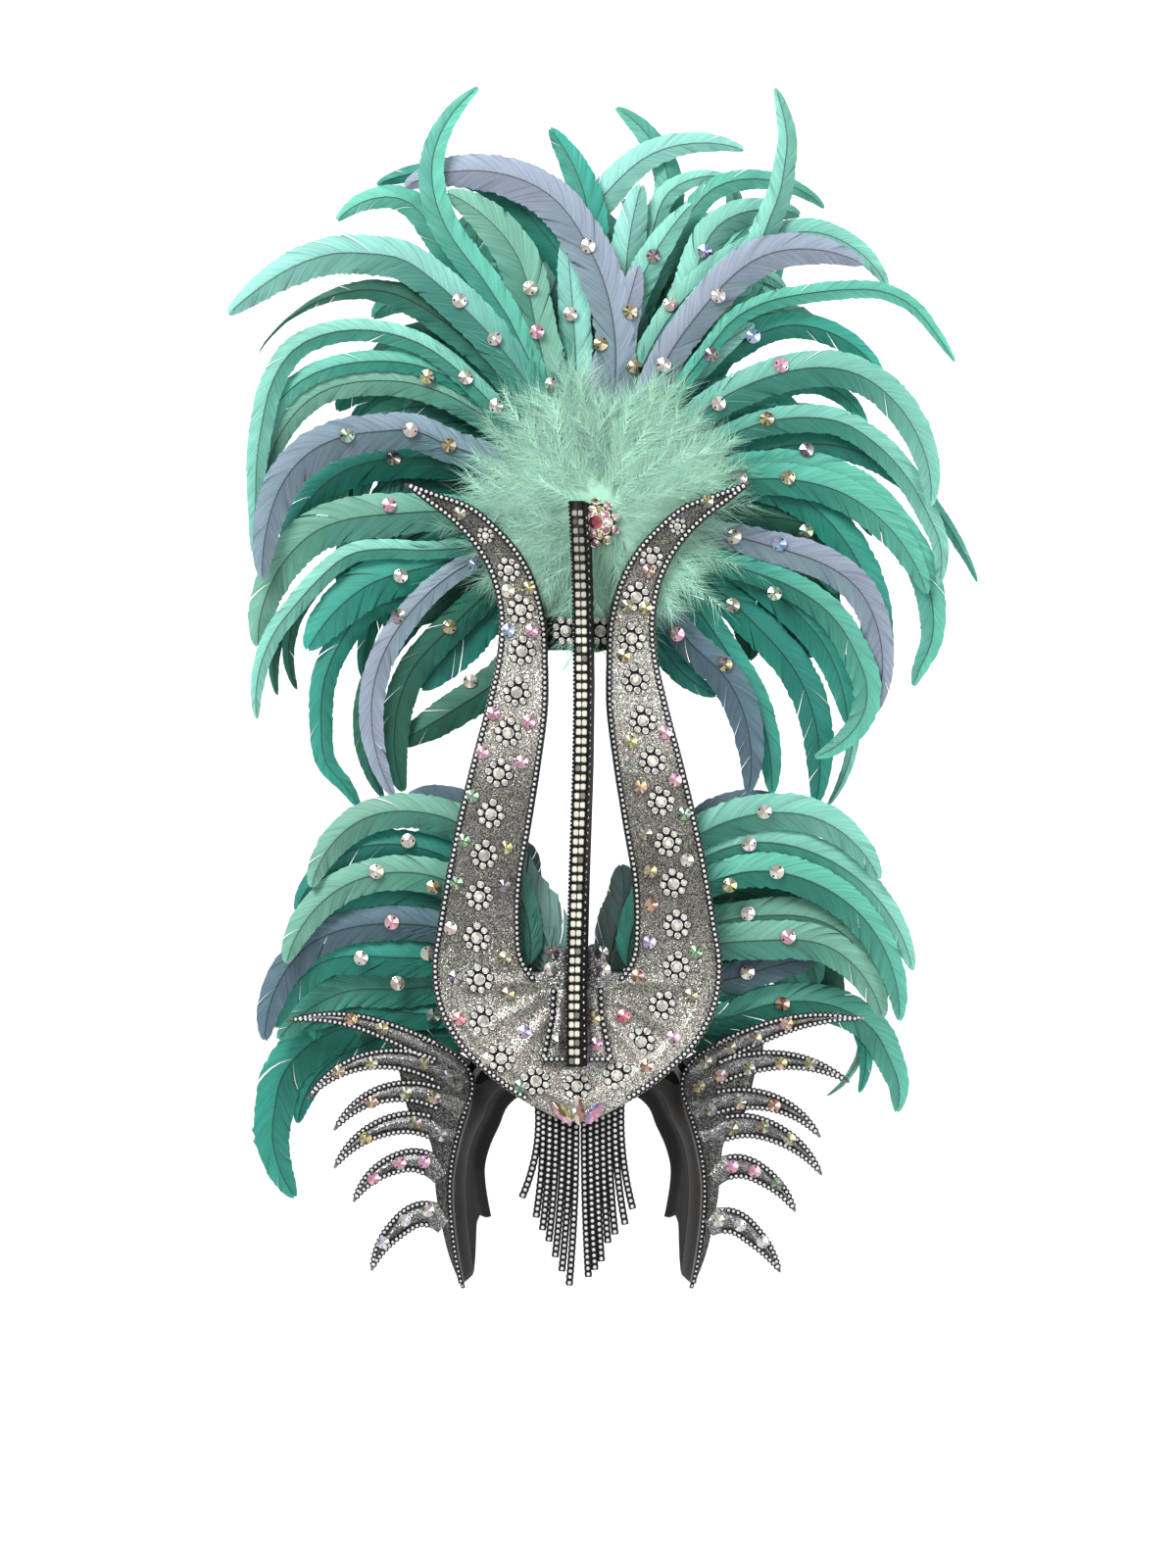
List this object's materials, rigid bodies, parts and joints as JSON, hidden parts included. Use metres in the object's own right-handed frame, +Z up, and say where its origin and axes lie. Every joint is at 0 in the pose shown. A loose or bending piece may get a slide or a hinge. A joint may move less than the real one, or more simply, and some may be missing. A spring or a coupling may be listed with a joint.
{
  "type": "showgirl feather headdress",
  "caption": "Worn stage headdress: foam cap with clawed side wings, a lyre-shaped crest with a stone-set fin, flower chains, a forehead fringe and fans of curled feathers.",
  "frame": {"origin": "inside top of the cap, where the crown of the head touches it", "axes": "+Z up, front of the headdress towards -Y, +X to the viewer's right when seen from the front"},
  "size_m": [0.536, 0.2002, 0.858],
  "materials": {
    "foam": "dark grey foam sheet",
    "glitter": "silver glitter foam",
    "banding": "black plastic banding set with white stones",
    "crystal": "clear stones in silver cups",
    "aurora": "iridescent sew-on stones",
    "felt": "green felt",
    "down": "pale mint fluffy down",
    "feather": "dyed cock tail feathers"
  },
  "bodies": {
    "root": {"cap": "foam", "yoke": "foam", "lyre": "glitter", "wing_left": "glitter", "wing_right": "glitter", "spine_foot": "glitter", "crest_base": "glitter", "lyre_trim_left": "banding", "lyre_trim_right": "banding", "wing_trim_left": "banding", "wing_trim_right": "banding", "foot_trim_left": "banding", "foot_trim_right": "banding", "spine": "banding", "fringe": "banding", "flowers_left": "crystal", "flowers_right": "crystal", "flower_mid": "crystal", "spine_band": "crystal", "brooch": "aurora", "marquise_left": "aurora", "marquise_mid": "aurora", "marquise_right": "aurora", "lyre_stone_1": "aurora", "lyre_stone_2": "aurora", "lyre_stone_3": "aurora", "lyre_stone_4": "aurora", "lyre_stone_5": "aurora", "lyre_stone_6": "aurora", "lyre_stone_7": "aurora", "lyre_stone_8": "aurora", "lyre_stone_9": "aurora", "lyre_stone_10": "aurora", "lyre_stone_11": "aurora", "lyre_stone_12": "aurora", "lyre_stone_13": "aurora", "lyre_stone_14": "aurora", "lyre_stone_15": "aurora", "lyre_stone_16": "aurora", "lyre_stone_17": "aurora", "lyre_stone_18": "aurora", "lyre_stone_19": "aurora", "lyre_stone_20": "aurora", "crest_stone_1": "aurora", "crest_stone_2": "aurora", "crest_stone_3": "aurora", "crest_stone_4": "aurora", "plume_base": "felt", "plume_down": "down", "plume_left": "feather", "plume_right": "feather", "side_plume_left": "feather", "side_plume_right": "feather"}
  },
  "joints": []
}
